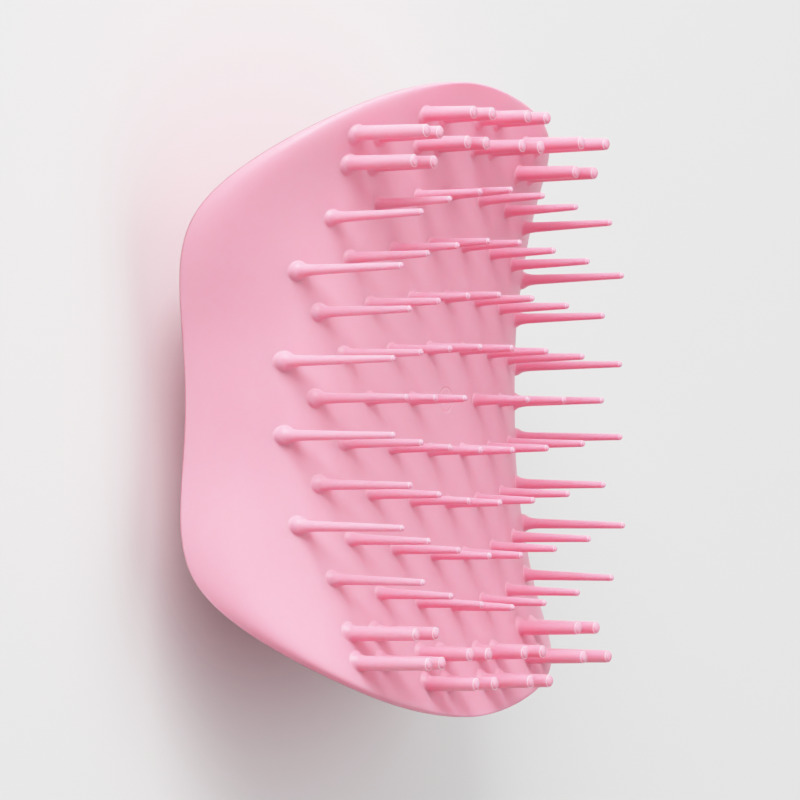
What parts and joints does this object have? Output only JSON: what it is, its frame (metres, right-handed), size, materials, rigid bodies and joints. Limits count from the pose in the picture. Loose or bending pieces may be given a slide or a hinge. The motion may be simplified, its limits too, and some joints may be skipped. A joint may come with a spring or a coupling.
{
  "type": "scalp massager brush",
  "caption": "Palm-held oval scalp massager with a saddle-shaped toothed face, thin flexible bristles in the middle, stout massage pins at both ends and a smooth palm cover.",
  "frame": {"origin": "centre of the small flat on the bottom of the palm cover, the brush lying on its back", "axes": "+Z along the teeth, away from the palm; Y along the brush's length; X across its width"},
  "size_m": [0.0804, 0.0954, 0.0442],
  "materials": {
    "face_plastic": "satin moulded pink plastic",
    "cover_plastic": "satin moulded pink plastic",
    "bristle_plastic": "smooth flexible pink plastic",
    "pin_plastic": "smooth flexible pink plastic"
  },
  "bodies": {
    "brush_body": {"face_shell": "face_plastic", "palm_cover": "cover_plastic"},
    "pins_row01_outer": {"pins_row01_outer": "pin_plastic"},
    "pins_row01_inner": {"pins_row01_inner": "pin_plastic"},
    "pins_row02_edge": {"pins_row02_edge": "pin_plastic"},
    "pins_row02_outer": {"pins_row02_outer": "pin_plastic"},
    "pins_row02_mid": {"pins_row02_mid": "pin_plastic"},
    "pins_row02_inner": {"pins_row02_inner": "pin_plastic"},
    "pins_row03_edge": {"pins_row03_edge": "pin_plastic"},
    "pins_row03_outer": {"pins_row03_outer": "pin_plastic"},
    "bristles_row04_outer": {"bristles_row04_outer": "bristle_plastic"},
    "bristles_row04_mid": {"bristles_row04_mid": "bristle_plastic"},
    "bristles_row04_inner": {"bristles_row04_inner": "bristle_plastic"},
    "bristles_row04_centre": {"bristles_row04_centre": "bristle_plastic"},
    "bristles_row05_edge": {"bristles_row05_edge": "bristle_plastic"},
    "bristles_row05_outer": {"bristles_row05_outer": "bristle_plastic"},
    "bristles_row05_mid": {"bristles_row05_mid": "bristle_plastic"},
    "bristles_row05_inner": {"bristles_row05_inner": "bristle_plastic"},
    "bristles_row06_outer": {"bristles_row06_outer": "bristle_plastic"},
    "bristles_row06_mid": {"bristles_row06_mid": "bristle_plastic"},
    "bristles_row06_inner": {"bristles_row06_inner": "bristle_plastic"},
    "bristles_row06_centre": {"bristles_row06_centre": "bristle_plastic"},
    "bristles_row07_edge": {"bristles_row07_edge": "bristle_plastic"},
    "bristles_row07_outer": {"bristles_row07_outer": "bristle_plastic"},
    "bristles_row07_mid": {"bristles_row07_mid": "bristle_plastic"},
    "bristles_row07_inner": {"bristles_row07_inner": "bristle_plastic"},
    "bristles_row08_outer": {"bristles_row08_outer": "bristle_plastic"},
    "bristles_row08_mid": {"bristles_row08_mid": "bristle_plastic"},
    "bristles_row08_inner": {"bristles_row08_inner": "bristle_plastic"},
    "bristles_row09_edge": {"bristles_row09_edge": "bristle_plastic"},
    "bristles_row09_outer": {"bristles_row09_outer": "bristle_plastic"},
    "bristles_row09_mid": {"bristles_row09_mid": "bristle_plastic"},
    "bristles_row09_inner": {"bristles_row09_inner": "bristle_plastic"},
    "bristles_row10_outer": {"bristles_row10_outer": "bristle_plastic"},
    "bristles_row10_mid": {"bristles_row10_mid": "bristle_plastic"},
    "bristles_row10_inner": {"bristles_row10_inner": "bristle_plastic"},
    "bristles_row10_centre": {"bristles_row10_centre": "bristle_plastic"},
    "bristles_row11_edge": {"bristles_row11_edge": "bristle_plastic"},
    "bristles_row11_outer": {"bristles_row11_outer": "bristle_plastic"},
    "bristles_row11_mid": {"bristles_row11_mid": "bristle_plastic"},
    "bristles_row11_inner": {"bristles_row11_inner": "bristle_plastic"},
    "bristles_row12_outer": {"bristles_row12_outer": "bristle_plastic"},
    "bristles_row12_mid": {"bristles_row12_mid": "bristle_plastic"},
    "bristles_row12_inner": {"bristles_row12_inner": "bristle_plastic"},
    "bristles_row12_centre": {"bristles_row12_centre": "bristle_plastic"},
    "pins_row13_edge": {"pins_row13_edge": "pin_plastic"},
    "pins_row13_outer": {"pins_row13_outer": "pin_plastic"},
    "pins_row14_edge": {"pins_row14_edge": "pin_plastic"},
    "pins_row14_outer": {"pins_row14_outer": "pin_plastic"},
    "pins_row14_mid": {"pins_row14_mid": "pin_plastic"},
    "pins_row14_inner": {"pins_row14_inner": "pin_plastic"},
    "pins_row15_outer": {"pins_row15_outer": "pin_plastic"},
    "pins_row15_inner": {"pins_row15_inner": "pin_plastic"}
  },
  "joints": [
    {"name": "flex_pins_row01_outer", "type": "hinge", "parent": "brush_body", "child": "pins_row01_outer", "pos_m": [0, 0.04254, 0.03386], "axis": [1, 0, 0], "range_deg": [-8, 8], "stiffness_Nm_per_rad": 0.001},
    {"name": "flex_pins_row01_inner", "type": "hinge", "parent": "brush_body", "child": "pins_row01_inner", "pos_m": [0, 0.04254, 0.03397], "axis": [1, 0, 0], "range_deg": [-8, 8], "stiffness_Nm_per_rad": 0.001},
    {"name": "flex_pins_row02_edge", "type": "hinge", "parent": "brush_body", "child": "pins_row02_edge", "pos_m": [0, 0.03916, 0.03153], "axis": [1, 0, 0], "range_deg": [-8, 8], "stiffness_Nm_per_rad": 0.001},
    {"name": "flex_pins_row02_outer", "type": "hinge", "parent": "brush_body", "child": "pins_row02_outer", "pos_m": [0, 0.03916, 0.03232], "axis": [1, 0, 0], "range_deg": [-8, 8], "stiffness_Nm_per_rad": 0.001},
    {"name": "flex_pins_row02_mid", "type": "hinge", "parent": "brush_body", "child": "pins_row02_mid", "pos_m": [0, 0.03814, 0.03279], "axis": [1, 0, 0], "range_deg": [-8, 8], "stiffness_Nm_per_rad": 0.001},
    {"name": "flex_pins_row02_inner", "type": "hinge", "parent": "brush_body", "child": "pins_row02_inner", "pos_m": [0, 0.03818, 0.03295], "axis": [1, 0, 0], "range_deg": [-8, 8], "stiffness_Nm_per_rad": 0.001},
    {"name": "flex_pins_row03_edge", "type": "hinge", "parent": "brush_body", "child": "pins_row03_edge", "pos_m": [0, 0.03479, 0.03019], "axis": [1, 0, 0], "range_deg": [-8, 8], "stiffness_Nm_per_rad": 0.001},
    {"name": "flex_pins_row03_outer", "type": "hinge", "parent": "brush_body", "child": "pins_row03_outer", "pos_m": [0, 0.03479, 0.03118], "axis": [1, 0, 0], "range_deg": [-8, 8], "stiffness_Nm_per_rad": 0.001},
    {"name": "flex_bristles_row04_outer", "type": "hinge", "parent": "brush_body", "child": "bristles_row04_outer", "pos_m": [0, 0.02676, 0.02795], "axis": [1, 0, 0], "range_deg": [-15, 15], "stiffness_Nm_per_rad": 0.0005},
    {"name": "flex_bristles_row04_mid", "type": "hinge", "parent": "brush_body", "child": "bristles_row04_mid", "pos_m": [0, 0.02897, 0.03044], "axis": [1, 0, 0], "range_deg": [-15, 15], "stiffness_Nm_per_rad": 0.0005},
    {"name": "flex_bristles_row04_inner", "type": "hinge", "parent": "brush_body", "child": "bristles_row04_inner", "pos_m": [0, 0.03041, 0.03161], "axis": [1, 0, 0], "range_deg": [-15, 15], "stiffness_Nm_per_rad": 0.0005},
    {"name": "flex_bristles_row04_centre", "type": "hinge", "parent": "brush_body", "child": "bristles_row04_centre", "pos_m": [0, 0.031, 0.03191], "axis": [1, 0, 0], "range_deg": [-15, 15], "stiffness_Nm_per_rad": 0.00025},
    {"name": "flex_bristles_row05_edge", "type": "hinge", "parent": "brush_body", "child": "bristles_row05_edge", "pos_m": [0, 0.01886, 0.02473], "axis": [1, 0, 0], "range_deg": [-15, 15], "stiffness_Nm_per_rad": 0.0005},
    {"name": "flex_bristles_row05_outer", "type": "hinge", "parent": "brush_body", "child": "bristles_row05_outer", "pos_m": [0, 0.02091, 0.02844], "axis": [1, 0, 0], "range_deg": [-15, 15], "stiffness_Nm_per_rad": 0.0005},
    {"name": "flex_bristles_row05_mid", "type": "hinge", "parent": "brush_body", "child": "bristles_row05_mid", "pos_m": [0, 0.02236, 0.03039], "axis": [1, 0, 0], "range_deg": [-15, 15], "stiffness_Nm_per_rad": 0.0005},
    {"name": "flex_bristles_row05_inner", "type": "hinge", "parent": "brush_body", "child": "bristles_row05_inner", "pos_m": [0, 0.0233, 0.03119], "axis": [1, 0, 0], "range_deg": [-15, 15], "stiffness_Nm_per_rad": 0.0005},
    {"name": "flex_bristles_row06_outer", "type": "hinge", "parent": "brush_body", "child": "bristles_row06_outer", "pos_m": [0, 0.01276, 0.02598], "axis": [1, 0, 0], "range_deg": [-15, 15], "stiffness_Nm_per_rad": 0.0005},
    {"name": "flex_bristles_row06_mid", "type": "hinge", "parent": "brush_body", "child": "bristles_row06_mid", "pos_m": [0, 0.01415, 0.0291], "axis": [1, 0, 0], "range_deg": [-15, 15], "stiffness_Nm_per_rad": 0.0005},
    {"name": "flex_bristles_row06_inner", "type": "hinge", "parent": "brush_body", "child": "bristles_row06_inner", "pos_m": [0, 0.01512, 0.03054], "axis": [1, 0, 0], "range_deg": [-15, 15], "stiffness_Nm_per_rad": 0.0005},
    {"name": "flex_bristles_row06_centre", "type": "hinge", "parent": "brush_body", "child": "bristles_row06_centre", "pos_m": [0, 0.01547, 0.03093], "axis": [1, 0, 0], "range_deg": [-15, 15], "stiffness_Nm_per_rad": 0.00025},
    {"name": "flex_bristles_row07_edge", "type": "hinge", "parent": "brush_body", "child": "bristles_row07_edge", "pos_m": [0, 0.00549, 0.02281], "axis": [1, 0, 0], "range_deg": [-15, 15], "stiffness_Nm_per_rad": 0.0005},
    {"name": "flex_bristles_row07_outer", "type": "hinge", "parent": "brush_body", "child": "bristles_row07_outer", "pos_m": [0, 0.00657, 0.02751], "axis": [1, 0, 0], "range_deg": [-15, 15], "stiffness_Nm_per_rad": 0.0005},
    {"name": "flex_bristles_row07_mid", "type": "hinge", "parent": "brush_body", "child": "bristles_row07_mid", "pos_m": [0, 0.00728, 0.0298], "axis": [1, 0, 0], "range_deg": [-15, 15], "stiffness_Nm_per_rad": 0.0005},
    {"name": "flex_bristles_row07_inner", "type": "hinge", "parent": "brush_body", "child": "bristles_row07_inner", "pos_m": [0, 0.00763, 0.0307], "axis": [1, 0, 0], "range_deg": [-15, 15], "stiffness_Nm_per_rad": 0.0005},
    {"name": "flex_bristles_row08_outer", "type": "hinge", "parent": "brush_body", "child": "bristles_row08_outer", "pos_m": [0, 0, 0.02548], "axis": [1, 0, 0], "range_deg": [-15, 15], "stiffness_Nm_per_rad": 0.0005},
    {"name": "flex_bristles_row08_mid", "type": "hinge", "parent": "brush_body", "child": "bristles_row08_mid", "pos_m": [0, 0, 0.02882], "axis": [1, 0, 0], "range_deg": [-15, 15], "stiffness_Nm_per_rad": 0.0005},
    {"name": "flex_bristles_row08_inner", "type": "hinge", "parent": "brush_body", "child": "bristles_row08_inner", "pos_m": [0, 0, 0.03037], "axis": [1, 0, 0], "range_deg": [-15, 15], "stiffness_Nm_per_rad": 0.0005},
    {"name": "flex_bristles_row09_edge", "type": "hinge", "parent": "brush_body", "child": "bristles_row09_edge", "pos_m": [0, -0.00549, 0.02281], "axis": [1, 0, 0], "range_deg": [-15, 15], "stiffness_Nm_per_rad": 0.0005},
    {"name": "flex_bristles_row09_outer", "type": "hinge", "parent": "brush_body", "child": "bristles_row09_outer", "pos_m": [0, -0.00657, 0.02751], "axis": [1, 0, 0], "range_deg": [-15, 15], "stiffness_Nm_per_rad": 0.0005},
    {"name": "flex_bristles_row09_mid", "type": "hinge", "parent": "brush_body", "child": "bristles_row09_mid", "pos_m": [0, -0.00728, 0.0298], "axis": [1, 0, 0], "range_deg": [-15, 15], "stiffness_Nm_per_rad": 0.0005},
    {"name": "flex_bristles_row09_inner", "type": "hinge", "parent": "brush_body", "child": "bristles_row09_inner", "pos_m": [0, -0.00763, 0.0307], "axis": [1, 0, 0], "range_deg": [-15, 15], "stiffness_Nm_per_rad": 0.0005},
    {"name": "flex_bristles_row10_outer", "type": "hinge", "parent": "brush_body", "child": "bristles_row10_outer", "pos_m": [0, -0.01276, 0.02598], "axis": [1, 0, 0], "range_deg": [-15, 15], "stiffness_Nm_per_rad": 0.0005},
    {"name": "flex_bristles_row10_mid", "type": "hinge", "parent": "brush_body", "child": "bristles_row10_mid", "pos_m": [0, -0.01415, 0.0291], "axis": [1, 0, 0], "range_deg": [-15, 15], "stiffness_Nm_per_rad": 0.0005},
    {"name": "flex_bristles_row10_inner", "type": "hinge", "parent": "brush_body", "child": "bristles_row10_inner", "pos_m": [0, -0.01512, 0.03054], "axis": [1, 0, 0], "range_deg": [-15, 15], "stiffness_Nm_per_rad": 0.0005},
    {"name": "flex_bristles_row10_centre", "type": "hinge", "parent": "brush_body", "child": "bristles_row10_centre", "pos_m": [0, -0.01547, 0.03093], "axis": [1, 0, 0], "range_deg": [-15, 15], "stiffness_Nm_per_rad": 0.00025},
    {"name": "flex_bristles_row11_edge", "type": "hinge", "parent": "brush_body", "child": "bristles_row11_edge", "pos_m": [0, -0.01886, 0.02473], "axis": [1, 0, 0], "range_deg": [-15, 15], "stiffness_Nm_per_rad": 0.0005},
    {"name": "flex_bristles_row11_outer", "type": "hinge", "parent": "brush_body", "child": "bristles_row11_outer", "pos_m": [0, -0.02091, 0.02844], "axis": [1, 0, 0], "range_deg": [-15, 15], "stiffness_Nm_per_rad": 0.0005},
    {"name": "flex_bristles_row11_mid", "type": "hinge", "parent": "brush_body", "child": "bristles_row11_mid", "pos_m": [0, -0.02236, 0.03039], "axis": [1, 0, 0], "range_deg": [-15, 15], "stiffness_Nm_per_rad": 0.0005},
    {"name": "flex_bristles_row11_inner", "type": "hinge", "parent": "brush_body", "child": "bristles_row11_inner", "pos_m": [0, -0.0233, 0.03119], "axis": [1, 0, 0], "range_deg": [-15, 15], "stiffness_Nm_per_rad": 0.0005},
    {"name": "flex_bristles_row12_outer", "type": "hinge", "parent": "brush_body", "child": "bristles_row12_outer", "pos_m": [0, -0.02676, 0.02795], "axis": [1, 0, 0], "range_deg": [-15, 15], "stiffness_Nm_per_rad": 0.0005},
    {"name": "flex_bristles_row12_mid", "type": "hinge", "parent": "brush_body", "child": "bristles_row12_mid", "pos_m": [0, -0.02897, 0.03044], "axis": [1, 0, 0], "range_deg": [-15, 15], "stiffness_Nm_per_rad": 0.0005},
    {"name": "flex_bristles_row12_inner", "type": "hinge", "parent": "brush_body", "child": "bristles_row12_inner", "pos_m": [0, -0.03041, 0.03161], "axis": [1, 0, 0], "range_deg": [-15, 15], "stiffness_Nm_per_rad": 0.0005},
    {"name": "flex_bristles_row12_centre", "type": "hinge", "parent": "brush_body", "child": "bristles_row12_centre", "pos_m": [0, -0.031, 0.03191], "axis": [1, 0, 0], "range_deg": [-15, 15], "stiffness_Nm_per_rad": 0.00025},
    {"name": "flex_pins_row13_edge", "type": "hinge", "parent": "brush_body", "child": "pins_row13_edge", "pos_m": [0, -0.03479, 0.03019], "axis": [1, 0, 0], "range_deg": [-8, 8], "stiffness_Nm_per_rad": 0.001},
    {"name": "flex_pins_row13_outer", "type": "hinge", "parent": "brush_body", "child": "pins_row13_outer", "pos_m": [0, -0.03479, 0.03118], "axis": [1, 0, 0], "range_deg": [-8, 8], "stiffness_Nm_per_rad": 0.001},
    {"name": "flex_pins_row14_edge", "type": "hinge", "parent": "brush_body", "child": "pins_row14_edge", "pos_m": [0, -0.03916, 0.03153], "axis": [1, 0, 0], "range_deg": [-8, 8], "stiffness_Nm_per_rad": 0.001},
    {"name": "flex_pins_row14_outer", "type": "hinge", "parent": "brush_body", "child": "pins_row14_outer", "pos_m": [0, -0.03916, 0.03232], "axis": [1, 0, 0], "range_deg": [-8, 8], "stiffness_Nm_per_rad": 0.001},
    {"name": "flex_pins_row14_mid", "type": "hinge", "parent": "brush_body", "child": "pins_row14_mid", "pos_m": [0, -0.03814, 0.03279], "axis": [1, 0, 0], "range_deg": [-8, 8], "stiffness_Nm_per_rad": 0.001},
    {"name": "flex_pins_row14_inner", "type": "hinge", "parent": "brush_body", "child": "pins_row14_inner", "pos_m": [0, -0.03818, 0.03295], "axis": [1, 0, 0], "range_deg": [-8, 8], "stiffness_Nm_per_rad": 0.001},
    {"name": "flex_pins_row15_outer", "type": "hinge", "parent": "brush_body", "child": "pins_row15_outer", "pos_m": [0, -0.04254, 0.03386], "axis": [1, 0, 0], "range_deg": [-8, 8], "stiffness_Nm_per_rad": 0.001},
    {"name": "flex_pins_row15_inner", "type": "hinge", "parent": "brush_body", "child": "pins_row15_inner", "pos_m": [0, -0.04254, 0.03397], "axis": [1, 0, 0], "range_deg": [-8, 8], "stiffness_Nm_per_rad": 0.001}
  ]
}
